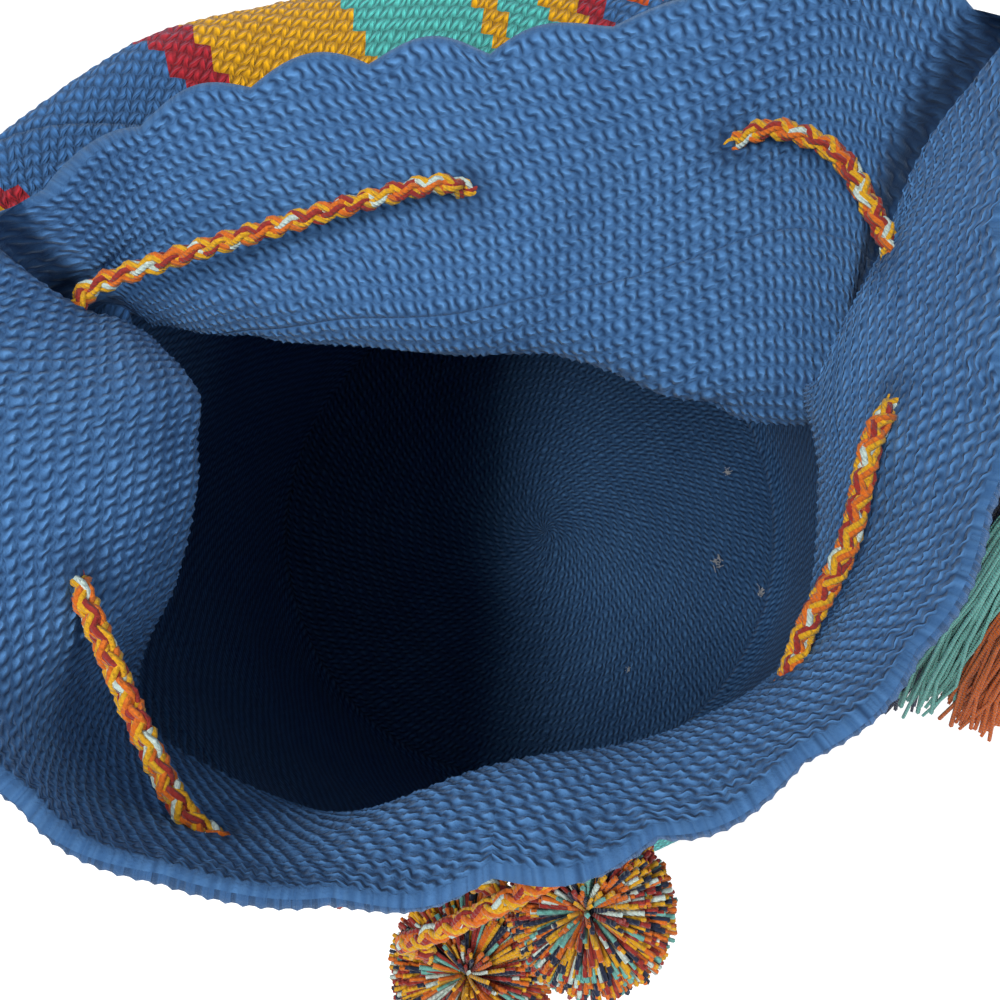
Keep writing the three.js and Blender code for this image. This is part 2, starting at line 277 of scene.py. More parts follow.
def laid_on_wall(columns, stops):
    """Where each stitch point of a band lies: stops are (row, side), and side is 1, 0 or -1."""
    stations = np.arange(columns) * STATIONS / columns
    levels, lengths = levels_down(stations)
    pitch = lengths[:, -1] / ROWS
    stitch = stations[:, None] * STITCHES / STATIONS
    row = np.array([row for row, _ in stops])[None, :]
    side = np.array([side for _, side in stops])[None, :]
    down = row * pitch[:, None] - shell_edge(stitch) * np.clip(1 - row / SHELL_ROWS, 0, 1)
    down = down - 0.35 * FABRIC * (side == 0)
    level = np.array([np.interp(d, length, levels) for d, length in zip(down, lengths)])
    station = np.broadcast_to(stations[:, None], level.shape)
    centre = wall(station, level)
    past_rim = np.minimum(down, 0)[..., None]
    top = wall(station, np.full(level.shape, float(RIM_LEVEL)))
    below_top = wall(station, np.full(level.shape, RIM_LEVEL - 0.05))
    onwards = (top - below_top) / np.linalg.norm(top - below_top, axis=-1, keepdims=True)
    centre = centre - past_rim * onwards
    out = wall_normal(station, level)
    press = fold_depth(station, row) - slow_waves(station, row)
    thick = side * (0.42 * FABRIC + stitch_relief(stitch, row, side))
    return centre + out * (thick + np.where(side == 0, 0, press))[..., None]


def fabric_grid(name, columns, stops, closed=True):
    """A flat grid, a column for each stitch point and a row for each stop, to be laid on the bag."""
    bm = bmesh.new()
    lines = len(stops) if closed else len(stops) - 1
    bmesh.ops.create_grid(bm, x_segments=columns, y_segments=lines, size=0.5)
    mesh = bpy.data.meshes.new(name)
    bm.to_mesh(mesh)
    bm.free()
    flat = np.empty(len(mesh.vertices) * 3)
    mesh.vertices.foreach_get("co", flat)
    flat = flat.reshape(-1, 3)
    column = np.round((flat[:, 0] + 0.5) * columns).astype(int)
    stop = np.round((flat[:, 1] + 0.5) * lines).astype(int) % len(stops)
    return mesh, column, stop


def sewn_shut(mesh):
    """Joins the grid's meeting edges, and turns it inside out if its faces point in."""
    bm = bmesh.new()
    bm.from_mesh(mesh)
    bmesh.ops.remove_doubles(bm, verts=bm.verts, dist=0.001 * MM)
    if bm.calc_volume(signed=True) < 0:
        bmesh.ops.reverse_faces(bm, faces=bm.faces)
    bm.to_mesh(mesh)
    bm.free()


def map_stitches(mesh, columns, column, row, side):
    """The UV map counts stitches round the bag and rows down from its rim."""
    loops = np.empty(len(mesh.loops), int)
    mesh.loops.foreach_get("vertex_index", loops)
    layer = mesh.uv_layers.new(name="stitches")
    uv = np.stack([column[loops] * STITCHES / columns, row[loops]], axis=1)
    layer.data.foreach_set("uv", uv.ravel())
    inner_faces = side[loops.reshape(-1, 4)].mean(axis=1) < 0
    mesh.polygons.foreach_set("material_index", inner_faces.astype(int))
    mesh.polygons.foreach_set("use_smooth", np.ones(len(mesh.polygons), bool))


def crocheted_band(name, columns, stops):
    mesh, column, stop = fabric_grid(name, columns, stops)
    places = laid_on_wall(columns, stops)[column % columns, stop]
    row = np.array([row for row, _ in stops])[stop]
    side = np.array([side for _, side in stops], float)[stop]
    mesh.vertices.foreach_set("co", places.ravel())
    # Painted shade: a mask that darkens the inner and middle faces over the eyelets and along the deeper pressed
    # folds.
    painted_shade_layer = mesh.attributes.new("painted_eyelet_and_fold_shade", "FLOAT", "POINT")
    station = (column % columns) * STATIONS / columns
    dye_tone_and_painted_shade = np.maximum(eyelet_nearness(places), np.minimum(fold_depth(station, row) / (7 * MM), 1) ** 1.3)
    painted_shade_layer.data.foreach_set("value", dye_tone_and_painted_shade * (side <= 0))
    map_stitches(mesh, columns, column, row, side)
    sewn_shut(mesh)
    band = bpy.data.objects.new(name, mesh)
    bpy.context.collection.objects.link(band)
    return band


def both_sides(first, last, per_row):
    rows = np.arange(first * per_row, last * per_row + 1) / per_row
    return [(row, 1) for row in rows[::-1]] + [(row, -1) for row in rows]


BORDER_ROWS = 17
COLLAR_ROWS = 34
SHOULDER_ROWS = 56

border_stops = both_sides(0, BORDER_ROWS, 4)
border_stops.insert(len(border_stops) // 2, (0, 0))
bands = [
    crocheted_band("mouth_border", STITCHES * 3, border_stops),
    crocheted_band("folded_collar", STITCHES * 3, both_sides(BORDER_ROWS, COLLAR_ROWS, 4)),
    crocheted_band("patterned_shoulder", STITCHES * 3, both_sides(COLLAR_ROWS, SHOULDER_ROWS, 2)),
    crocheted_band("patterned_wall", STITCHES * 2, both_sides(SHOULDER_ROWS, ROWS, 1)),
]


# ---- Bag body: its base ----------------------------------------------------------------------------
# The base is crocheted in a spiral from its middle, with more stitches in each round. It lies flat,
# but for a soft ring where the fabric has been creased.
BASE_ROWS = 30
BASE_COLUMNS = 256
FLAT_SHARE = 0.86  # of the rows, those on the flat
CREASE_AT = 0.6  # of the rows, where the soft ring lies


def laid_on_base(column, row, side):
    station = column * STATIONS / BASE_COLUMNS
    out = row / BASE_ROWS
    level = np.clip((out - FLAT_SHARE) / (1 - FLAT_SHARE), 0, 1)
    centre = wall(station, level)
    centre[:, :2] *= np.minimum(out / FLAT_SHARE, 1)[:, None]
    facing = wall_normal(station, level) * level[:, None] + np.array((0, 0, -1)) * (1 - level)[:, None]
    facing /= np.linalg.norm(facing, axis=1, keepdims=True)
    places = centre + facing * (side * 0.42 * FABRIC)[:, None]
    angle = 2 * np.pi * station / STATIONS
    crease = 1.5 * MM * np.exp(-(((out - CREASE_AT) / 0.045) ** 2)) * (0.6 + 0.4 * np.sin(angle + 2))
    lumps = 0.5 * MM * np.sin(3 * angle + 9 * out) * out
    rounds = 0.3 * MM * np.cos(2 * np.pi * (row + angle / (2 * np.pi)))
    places[:, 2] += np.where(side < 0, (crease + lumps + rounds) * (1 - level) + 0.4 * MM, 0)
    return places


def crocheted_base(name):
    rows = np.arange(0, BASE_ROWS * 2 + 1) / 2
    stops = [(row, 1) for row in rows] + [(row, -1) for row in rows[::-1]]
    mesh, column, stop = fabric_grid(name, BASE_COLUMNS, stops, closed=False)
    row = np.array([row for row, _ in stops])[stop]
    side = np.array([side for _, side in stops], float)[stop]
    mesh.vertices.foreach_set("co", laid_on_base(column, row, side).ravel())
    map_stitches(mesh, BASE_COLUMNS, column, row, np.ones(len(side)))
    sewn_shut(mesh)
    base = bpy.data.objects.new(name, mesh)
    bpy.context.collection.objects.link(base)
    return base


base = crocheted_base("spiral_base")


# ---- Bag body: its cotton ---------------------------------------------------------------------------
# Matt mercerised cotton, mid blue. Painted highlight lightens the bars and beads of the stitches in ply stripes,
# and painted shade darkens the small gaps between stitches, the eyelets and the pressed folds. Outside, other colours
# are carried along in steps.
def wired(tree, kind, *values, **settings):
    """A node with its first inputs set or linked, and its first output."""
    made = tree.nodes.new(kind)
    for name, value in settings.items():
        setattr(made, name, value)
    for socket, value in zip(made.inputs, values):
        if isinstance(value, bpy.types.NodeSocket):
            tree.links.new(value, socket)
        elif value is not None:
            socket.default_value = value
    return made.outputs[0]


def maths(tree, operation, *values):
    return wired(tree, "ShaderNodeMath", *values, operation=operation)


def mixed(tree, amount, first, second, blend="MIX"):
    made = tree.nodes.new("ShaderNodeMix")
    made.data_type = "RGBA"
    made.blend_type = blend
    for socket, value in ((made.inputs[0], amount), (made.inputs[6], first), (made.inputs[7], second)):
        if isinstance(value, bpy.types.NodeSocket):
            tree.links.new(value, socket)
        else:
            socket.default_value = value
    return made.outputs[2]


def new_group(name, inputs, outputs):
    group = bpy.data.node_groups.new(name, "ShaderNodeTree")
    for direction, names in (("INPUT", inputs), ("OUTPUT", outputs)):
        for socket in names:
            group.interface.new_socket(name=socket, in_out=direction, socket_type="NodeSocketFloat")
    return group, group.nodes.new("NodeGroupInput"), group.nodes.new("NodeGroupOutput")


def wave(tree, value):
    """From 0 to 1 and back, once for each whole number, with 1 at the whole numbers."""
    turned = maths(tree, "COSINE", maths(tree, "MULTIPLY", value, 2 * math.pi))
    return maths(tree, "MULTIPLY_ADD", turned, 0.5, 0.5)


def uneven(tree, stitch, row, scale, reach):
    """Shifts a stitch place a little, as no two hand-made stitches are the same."""
    joined = tree.nodes.new("ShaderNodeCombineXYZ")
    tree.links.new(stitch, joined.inputs[0])
    tree.links.new(row, joined.inputs[1])
    noise = tree.nodes.new("ShaderNodeTexNoise")
    noise.inputs["Scale"].default_value = scale
    noise.inputs["Detail"].default_value = 1
    tree.links.new(joined.outputs[0], noise.inputs["Vector"])
    apart = tree.nodes.new("ShaderNodeSeparateXYZ")
    tree.links.new(noise.outputs["Color"], apart.inputs[0])
    stitch = maths(tree, "ADD", stitch, maths(tree, "MULTIPLY_ADD", apart.outputs[0], reach, -reach / 2))
    row = maths(tree, "ADD", row, maths(tree, "MULTIPLY_ADD", apart.outputs[1], reach, -reach / 2))
    return stitch, row, apart.outputs[2]


def crochet_group():
    """Slanted beads in a net of painted shade: the look of single crochet from inside. Its ply output is painted
    highlight on the beads and bars.
    """
    group, given, out = new_group("crochet_inside", ["Stitch", "Row"], ["Height", "Painted_Gap_Shade", "Painted_Ply_Highlight"])
    stitch, row, chance = uneven(group, given.outputs["Stitch"], given.outputs["Row"], 0.9, 0.75)
    across = maths(group, "FRACT", row)
    whole = maths(group, "FLOOR", row)
    lean = maths(group, "ADD", stitch, maths(group, "MULTIPLY", whole, STITCH_LEAN))
    lean = maths(group, "MULTIPLY_ADD", across, STITCH_SLANT, lean)
    swing = maths(group, "SINE", maths(group, "MULTIPLY", across, 2 * math.pi))
    lean = maths(group, "MULTIPLY_ADD", swing, -0.12, lean)
    bar = wave(group, across)
    along = maths(group, "SUBTRACT", 1.0, wave(group, lean))
    bead = maths(group, "POWER", maths(group, "MULTIPLY", maths(group, "SUBTRACT", 1.0, bar), along), 0.62)
    thin_bar = maths(group, "POWER", bar, 2.5)
    bead_plies = wave(group, maths(group, "MULTIPLY_ADD", lean, 2.0, maths(group, "MULTIPLY", across, 1.6)))
    bar_plies = wave(group, maths(group, "MULTIPLY_ADD", across, 2.5, maths(group, "MULTIPLY", lean, 1.5)))
    # Ply stripes on the bars and beads: relief for the bump, and painted highlight through the ply output.
    ply = maths(group, "MULTIPLY_ADD", bar_plies, maths(group, "MULTIPLY", thin_bar, 0.6),
                maths(group, "MULTIPLY", bead, maths(group, "MULTIPLY_ADD", bead_plies, 0.45, 0.55)))
    raised = maths(group, "MULTIPLY_ADD", thin_bar, 0.42, bead)
    # Painted shade wherever neither bead nor bar is raised.
    gap_shade = maths(group, "SUBTRACT", 1.0, maths(group, "MINIMUM", raised, 1.0))
    ply = maths(group, "MULTIPLY", ply, maths(group, "MULTIPLY_ADD", chance, 1.4, 0.3))
    group.links.new(maths(group, "MULTIPLY_ADD", ply, 0.35, raised), out.inputs["Height"])
    group.links.new(gap_shade, out.inputs["Painted_Gap_Shade"])
    group.links.new(ply, out.inputs["Painted_Ply_Highlight"])
    return group


def v_stitch_group():
    """Small upright Vs, close together: the look of single crochet from outside."""
    group, given, out = new_group("crochet_outside", ["Stitch", "Row"], ["Height", "Painted_Gap_Shade", "Painted_Ply_Highlight"])
    stitch, row, chance = uneven(group, given.outputs["Stitch"], given.outputs["Row"], 0.9, 0.5)
    across = maths(group, "FRACT", row)
    whole = maths(group, "FLOOR", row)
    lean = maths(group, "ADD", stitch, maths(group, "MULTIPLY", whole, STITCH_LEAN))
    lean = maths(group, "MULTIPLY_ADD", across, STITCH_SLANT, lean)
    from_middle = maths(group, "ABSOLUTE", maths(group, "SUBTRACT", maths(group, "FRACT", lean), 0.5))
    leg_at = maths(group, "MULTIPLY_ADD", across, -0.2, 0.33)
    off_leg = maths(group, "DIVIDE", maths(group, "SUBTRACT", from_middle, leg_at), 0.24)
    leg = maths(group, "SUBTRACT", 1.0, maths(group, "MINIMUM", maths(group, "POWER", off_leg, 2.0), 1.0))
    ends = wave(group, across)
    raised = maths(group, "MULTIPLY", leg, maths(group, "MULTIPLY_ADD", ends, -0.75, 1.0))
    ply = wave(group, maths(group, "MULTIPLY_ADD", across, 2.0, maths(group, "MULTIPLY", from_middle, 4.0)))
    ply = maths(group, "MULTIPLY", ply, maths(group, "MULTIPLY_ADD", chance, 1.4, 0.3))
    group.links.new(maths(group, "MULTIPLY_ADD", ply, 0.25, raised), out.inputs["Height"])
    # Painted shade wherever no leg of a V is raised.
    group.links.new(maths(group, "SUBTRACT", 1.0, raised), out.inputs["Painted_Gap_Shade"])
    # Painted highlight in ply stripes, through the ply output.
    group.links.new(ply, out.inputs["Painted_Ply_Highlight"])
    return group


def fibre_group():
    """The fine fuzz of spun cotton, and slow shifts of its dye."""
    group, given, out = new_group("cotton_fibre", ["Scale"], ["Fuzz", "Shade"])
    place = group.nodes.new("ShaderNodeTexCoord").outputs["Object"]
    fuzz = group.nodes.new("ShaderNodeTexNoise")
    group.links.new(place, fuzz.inputs["Vector"])
    group.links.new(given.outputs["Scale"], fuzz.inputs["Scale"])
    fuzz.inputs["Detail"].default_value = 3
    fuzz.inputs["Roughness"].default_value = 0.65
    shade = group.nodes.new("ShaderNodeTexNoise")
    group.links.new(place, shade.inputs["Vector"])
    shade.inputs["Scale"].default_value = 45
    shade.inputs["Detail"].default_value = 4
    group.links.new(fuzz.outputs[0], out.inputs["Fuzz"])
    group.links.new(shade.outputs[0], out.inputs["Shade"])
    return group


INSIDE_STITCH = crochet_group()
OUTSIDE_STITCH = v_stitch_group()
COTTON_FIBRE = fibre_group()

BLUE = (0.060, 0.190, 0.460, 1)
# A dark blue, used only for painted shade.
PAINTED_SHADE_BLUE = (0.006, 0.024, 0.075, 1)
PALE_BLUE = (0.165, 0.400, 0.79, 1)
RED = (0.50, 0.022, 0.035, 1)
GOLD = (0.95, 0.48, 0.004, 1)
TURQUOISE = (0.115, 0.66, 0.60, 1)
ORANGE = (0.72, 0.105, 0.008, 1)


def grouped(tree, group, **values):
    made = tree.nodes.new("ShaderNodeGroup")
    made.node_tree = group
    for name, value in values.items():
        if isinstance(value, bpy.types.NodeSocket):
            tree.links.new(value, made.inputs[name])
        else:
            made.inputs[name].default_value = value
    return made.outputs


def stitch_place(tree):
    uv = tree.nodes.new("ShaderNodeUVMap")
    uv.uv_map = "stitches"
    split = tree.nodes.new("ShaderNodeSeparateXYZ")
    tree.links.new(uv.outputs[0], split.inputs[0])
    return split.outputs[0], split.outputs[1]


def cotton(name, group, colour_of, depth, place_of=stitch_place):
    material = bpy.data.materials.new(name)
    material.use_nodes = True
    tree = material.node_tree
    shader = tree.nodes["Principled BSDF"]
    stitch, row = place_of(tree)
    look = grouped(tree, group, Stitch=stitch, Row=row)
    fibre = grouped(tree, COTTON_FIBRE, Scale=1500.0)
    base_colour, light_colour, painted_shade_colour = colour_of(tree, stitch, row)
    # Painted highlight: the ply output lightens the beads and bars towards the paler colour.
    shaded = mixed(tree, maths(tree, "MULTIPLY", look["Painted_Ply_Highlight"], 0.55), base_colour, light_colour)
    # Slow shifts of the dye, towards the paler colour.
    dye_tone_and_painted_shade = maths(tree, "MULTIPLY_ADD", fibre["Shade"], 1.3, -0.45)
    shaded = mixed(tree, maths(tree, "MULTIPLY", dye_tone_and_painted_shade, 0.45), shaded, light_colour)
    fuzzy = maths(tree, "MULTIPLY_ADD", fibre["Fuzz"], 1.6, -0.55)
    shaded = mixed(tree, maths(tree, "MULTIPLY", fuzzy, 0.3), shaded, light_colour)
    # Painted shade: the gaps between stitches darken towards the shade colour.
    painted_gap_shade = maths(tree, "MULTIPLY", look["Painted_Gap_Shade"], 0.93)
    shaded = mixed(tree, painted_gap_shade, shaded, painted_shade_colour)
    # Painted shade over the eyelets and along the deeper pressed folds, read from the mesh's mask.
    painted_shade_attribute = tree.nodes.new("ShaderNodeAttribute")
    painted_shade_attribute.attribute_name = "painted_eyelet_and_fold_shade"
    shaded = mixed(tree, maths(tree, "MULTIPLY", painted_shade_attribute.outputs["Fac"], 0.8), shaded, painted_shade_colour)
    tree.links.new(shaded, shader.inputs["Base Color"])
    shader.inputs["Roughness"].default_value = 0.9
    shader.inputs["Specular IOR Level"].default_value = 0.25
    shader.inputs["Sheen Weight"].default_value = 0.25
    shader.inputs["Sheen Roughness"].default_value = 0.5
    shader.inputs["Sheen Tint"].default_value = (0.5, 0.7, 1.0, 1)
    bump = tree.nodes.new("ShaderNodeBump")
    bump.inputs["Strength"].default_value = 1.0
    bump.inputs["Distance"].default_value = depth
    height = maths(tree, "MULTIPLY_ADD", fibre["Fuzz"], 0.5, look["Height"])
    tree.links.new(height, bump.inputs["Height"])
    tree.links.new(bump.outputs[0], shader.inputs["Normal"])
    return material


def plain_blue(tree, stitch, row):
    # The base blue, a paler blue for painted highlight and dye shifts, and a dark blue for painted shade.
    return BLUE, PALE_BLUE, PAINTED_SHADE_BLUE


PATTERN_REPEAT = 56  # stitches in one repeat, four of them round the bag
PATTERN_LEAN = 0.64  # stitches that a band leans for each row
PATTERN_TURN = 32  # rows from one turn of the bands' lean to the next
PATTERN_TOP = 28  # rows below the rim where the colours start
PATTERN_FOOT = 113  # and end
TURN_START = 17  # rows below the rim of a turn in the lean
UPPER_BANDS = [
    (0, BLUE), (18, RED), (20, GOLD), (23, TURQUOISE), (27, GOLD), (29, TURQUOISE), (39, GOLD), (52, RED),
]
LOWER_BANDS = [
    (0, RED), (9, BLUE), (14, ORANGE), (27, GOLD), (30, ORANGE), (39, TURQUOISE), (48, BLUE), (53, GOLD),
]


def banded(tree, at, bands):
    ramp = tree.nodes.new("ShaderNodeValToRGB")
    ramp.color_ramp.interpolation = "CONSTANT"
    for start, _ in bands[2:]:
        ramp.color_ramp.elements.new(start / PATTERN_REPEAT)
    for element, (start, colour) in zip(ramp.color_ramp.elements, bands):
        element.position = start / PATTERN_REPEAT
        element.color = colour
    tree.links.new(at, ramp.inputs[0])
    return ramp.outputs[0]


def leaning_bands(tree, stitch, row):
    """Leaning bands of colour that turn back every few rows, in whole stitches and rows."""
    column = maths(tree, "FLOOR", stitch)
    line = maths(tree, "FLOOR", row)
    from_top = maths(tree, "SUBTRACT", line, float(TURN_START))
    lean = maths(tree, "PINGPONG", from_top, float(PATTERN_TURN))
    shift = maths(tree, "MULTIPLY_ADD", lean, -PATTERN_LEAN, column)
    along = maths(tree, "SUBTRACT", shift, PATTERN_LEAN * TURN_START)
    repeat = maths(tree, "FRACT", maths(tree, "DIVIDE", along, float(PATTERN_REPEAT)))
    turn = maths(tree, "FLOOR", maths(tree, "DIVIDE", from_top, float(PATTERN_TURN)))
    turned = maths(tree, "MODULO", turn, 2.0)
    bands = mixed(tree, turned, banded(tree, repeat, UPPER_BANDS), banded(tree, repeat, LOWER_BANDS))
    below = maths(tree, "GREATER_THAN", row, float(PATTERN_TOP))
    above = maths(tree, "LESS_THAN", row, float(PATTERN_FOOT))
    colour = mixed(tree, maths(tree, "MULTIPLY", below, above), BLUE, bands)
    # A lighter copy of the colour for painted highlight and dye shifts, and a darker copy for painted shade.
    light = mixed(tree, 1.0, colour, (1.45, 1.45, 1.45, 1), "MULTIPLY")
    dark = mixed(tree, 1.0, colour, (0.34, 0.30, 0.30, 1), "MULTIPLY")
    return colour, light, dark


def spiral_place(tree):
    """Rounds of the base, each with eight stitches more than the one inside it."""
    stitch, row = stitch_place(tree)
    turn = maths(tree, "DIVIDE", stitch, float(STITCHES))
    round_at = maths(tree, "ADD", row, turn)
    in_round = maths(tree, "MULTIPLY", maths(tree, "CEIL", round_at), 8.0)
    return maths(tree, "MULTIPLY", turn, in_round), round_at


blue_inside = cotton("blue_cotton_inside", INSIDE_STITCH, plain_blue, 0.5 * MM)
patterned_outside = cotton("patterned_cotton_outside", OUTSIDE_STITCH, leaning_bands, 0.6 * MM)
spiral_cotton = cotton("blue_cotton_spiral", INSIDE_STITCH, plain_blue, 0.9 * MM, spiral_place)

for band in bands:
    band.data.materials.append(patterned_outside)
    band.data.materials.append(blue_inside)
base.data.materials.append(spiral_cotton)
for piece in [*bands, base]:
    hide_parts("bag_body")
    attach(piece, "root")


# ---- Yarns -------------------------------------------------------------------------------------------
# The cord, pompoms, strap and tassels are made of the same loosely twisted cotton yarns.
YARNS = {
    "navy": (0.012, 0.022, 0.060, 1),
    "turquoise": (0.17, 0.50, 0.44, 1),
    "orange": (0.62, 0.125, 0.010, 1),
    "ochre": (0.56, 0.235, 0.012, 1),
    "gold": (0.86, 0.42, 0.008, 1),
    "brick": (0.36, 0.028, 0.020, 1),
    "mint": (0.62, 0.78, 0.70, 1),
    "flame": (0.80, 0.17, 0.010, 1),
    "lint": (0.9, 0.92, 0.95, 1),
}


def yarn(name, colour):
    material = bpy.data.materials.new(f"{name}_yarn")
    material.use_nodes = True
    tree = material.node_tree
    shader = tree.nodes["Principled BSDF"]
    fibre = grouped(tree, COTTON_FIBRE, Scale=1800.0)
    light = tuple(min(1.0, 1.45 * c + 0.02) for c in colour[:3]) + (1,)
    dark = tuple(0.45 * c for c in colour[:3]) + (1,)
    place = tree.nodes.new("ShaderNodeTexCoord").outputs["Object"]
    twist = tree.nodes.new("ShaderNodeTexWave")
    twist.bands_direction = "DIAGONAL"
    tree.links.new(place, twist.inputs["Vector"])
    twist.inputs["Scale"].default_value = 420
    twist.inputs["Distortion"].default_value = 3
    shaded = mixed(tree, maths(tree, "MULTIPLY", twist.outputs["Fac"], 0.35), colour, light)
    shaded = mixed(tree, maths(tree, "MULTIPLY_ADD", fibre["Fuzz"], 1.4, -0.45), shaded, dark)
    tree.links.new(shaded, shader.inputs["Base Color"])
    shader.inputs["Roughness"].default_value = 0.85
    shader.inputs["Specular IOR Level"].default_value = 0.3
    shader.inputs["Sheen Weight"].default_value = 0.2
    bump = tree.nodes.new("ShaderNodeBump")
    bump.inputs["Distance"].default_value = 0.25 * MM
    tree.links.new(maths(tree, "ADD", fibre["Fuzz"], twist.outputs["Fac"]), bump.inputs["Height"])
    tree.links.new(bump.outputs[0], shader.inputs["Normal"])
    return material


YARN_MATERIALS = {name: yarn(name, colour) for name, colour in YARNS.items()}


def yarn_piece(name, strands, sides=4):
    """A mesh of many yarns: each strand is its dye, its radius and the points that it follows."""
    curve = bpy.data.curves.new(name, "CURVE")
    curve.dimensions = "3D"
    curve.bevel_depth = 1.0
    curve.bevel_resolution = (sides - 4) // 2
    curve.use_fill_caps = True
    dyes = sorted({dye for dye, _, _ in strands})
    for dye in dyes:
        curve.materials.append(YARN_MATERIALS[dye])
    for dye, radius, points in strands:
        spline = curve.splines.new("POLY")
        spline.points.add(len(points) - 1)
        flat = np.ones((len(points), 4))
        flat[:, :3] = points
        spline.points.foreach_set("co", flat.ravel())
        spline.points.foreach_set("radius", np.full(len(points), radius))
        spline.material_index = dyes.index(dye)
        spline.use_smooth = True
    shape = bpy.data.objects.new(name + "_curve", curve)
    bpy.context.collection.objects.link(shape)
    mesh = bpy.data.meshes.new_from_object(shape.evaluated_get(bpy.context.evaluated_depsgraph_get()))
    mesh.name = name
    bpy.data.objects.remove(shape)
    piece = bpy.data.objects.new(name, mesh)
    bpy.context.collection.objects.link(piece)
    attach(piece, "root")
    return piece


# ---- Drawstring ---------------------------------------------------------------------------------------
# A round braid of four strands, each of four yarns, threaded through the eight eyelets. Its two ends
# come out at the front and cross there.
DRAWSTRING_ROUTE = MM * np.array([
    [-19.5, -111, 223], [-24, -106.5, 231], [-18, -102, 240], [-8, -96, 247], [5, -88, 253],
    [16, -81, 257.5], [29, -74, 260.5], [40, -65, 262], [47.5, -56, 263], [52.5, -47, 262.5],
    [56, -38, 262.5], [64, -22, 263.5], [69, -3, 263.5], [75, 5, 260], [80.5, 13, 255.5],
    [81.5, 27, 250.5], [78.5, 36, 250.5], [75.5, 44.5, 250.5], [68, 59, 250], [56, 66.5, 247],
    [47, 65.5, 242], [38, 64.5, 237.5], [20, 61, 237], [-1, 58.5, 237.5], [-10, 57, 243],
    [-19, 55.5, 248.5], [-52, 46, 251], [-85.5, 35, 253], [-91.5, 29, 254], [-93.5, 20, 257],
    [-87.5, 5, 266], [-84.5, -19, 269], [-80, -28, 272], [-75, -36, 275], [-58, -67, 277],
    [-49, -75.5, 276.5], [-39, -81.5, 275.5], [-29, -88.5, 260], [-12, -89.5, 244], [-2, -92.5, 238.5],
])
CORD_DIAMETER = 4.8 * MM
BRAID_PITCH = 10.6 * MM


def smooth_route(route, spacing):
    """Evenly spaced points on a smooth curve through the route's points."""
    padded = np.vstack([2 * route[0] - route[1], route, 2 * route[-1] - route[-2]])
    parts = [
        catmull_rom(padded[i], padded[i + 1], padded[i + 2], padded[i + 3], np.linspace(0, 1, 24, False))
        for i in range(len(route) - 1)
    ]
    fine = np.vstack([*parts, route[-1:]])
    lengths = np.concatenate([[0], np.cumsum(np.linalg.norm(np.diff(fine, axis=0), axis=1))])
    wanted = np.linspace(0, lengths[-1], max(2, int(round(lengths[-1] / spacing)) + 1))
    return np.stack([np.interp(wanted, lengths, fine[:, k]) for k in range(3)], axis=1), wanted


def frames_along(line):
    """A tangent and two steady cross directions at each point of a line."""
    tangents = np.gradient(line, axis=0)
    tangents /= np.linalg.norm(tangents, axis=1, keepdims=True)
    first = np.cross(tangents[0], (0.3, 0.2, 0.9))
    crosses = []
    for tangent in tangents:
        first = first - tangent * first.dot(tangent)
        first = first / np.linalg.norm(first)
        crosses.append(first)
    crosses = np.array(crosses)
    return tangents, crosses, np.cross(tangents, crosses)


def round_braid(line, along, diameter, pitch, strand_dyes):
    """Four strands, two wound each way, that pass over and under each other."""
    _, across, over = frames_along(line)
    yarns = []
    scale = diameter / 4.8
    for number, dyes in enumerate(strand_dyes):
        way = 1 if number % 2 == 0 else -1
        turn = way * 2 * np.pi * along / pitch + (number // 2) * np.pi
        reach = scale * (1.08 + way * 0.30 * np.cos(4 * np.pi * along / pitch))
        middle = line + across * (np.cos(turn) * reach)[:, None] + over * (np.sin(turn) * reach)[:, None]
        _, side, up = frames_along(middle)
        for place, dye in enumerate(dyes):
            twist = 2 * np.pi * along / (1.3 * pitch) + place * 2 * np.pi / len(dyes)
            offset = side * np.cos(twist)[:, None] + up * np.sin(twist)[:, None]
            yarns.append((dye, 0.66 * scale, middle + 0.60 * scale * offset))
    return yarns


BRAID_DYES = [
    ("gold", "flame", "gold", "mint"), ("brick", "flame", "brick", "gold"),
    ("flame", "gold", "brick", "gold"), ("gold", "brick", "flame", "mint"),
]
cord_line, cord_along = smooth_route(DRAWSTRING_ROUTE, 1.1 * MM)
cord_strands = round_braid(cord_line, cord_along, CORD_DIAMETER, BRAID_PITCH, BRAID_DYES)
drawstring = yarn_piece("braided_drawstring", cord_strands, sides=6)
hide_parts("drawstring")


# ---- Pompoms ---------------------------------------------------------------------------------------------
# Each end of the drawstring is tied into the middle of a bundle of cut yarns, which spread into a ball.
POMPOM_YARNS = 2300
POMPOM_DYES = ["flame"] * 6 + ["gold"] * 6 + ["brick"] * 5 + ["navy"] * 4 + ["turquoise"] * 2 + ["mint"] * 2


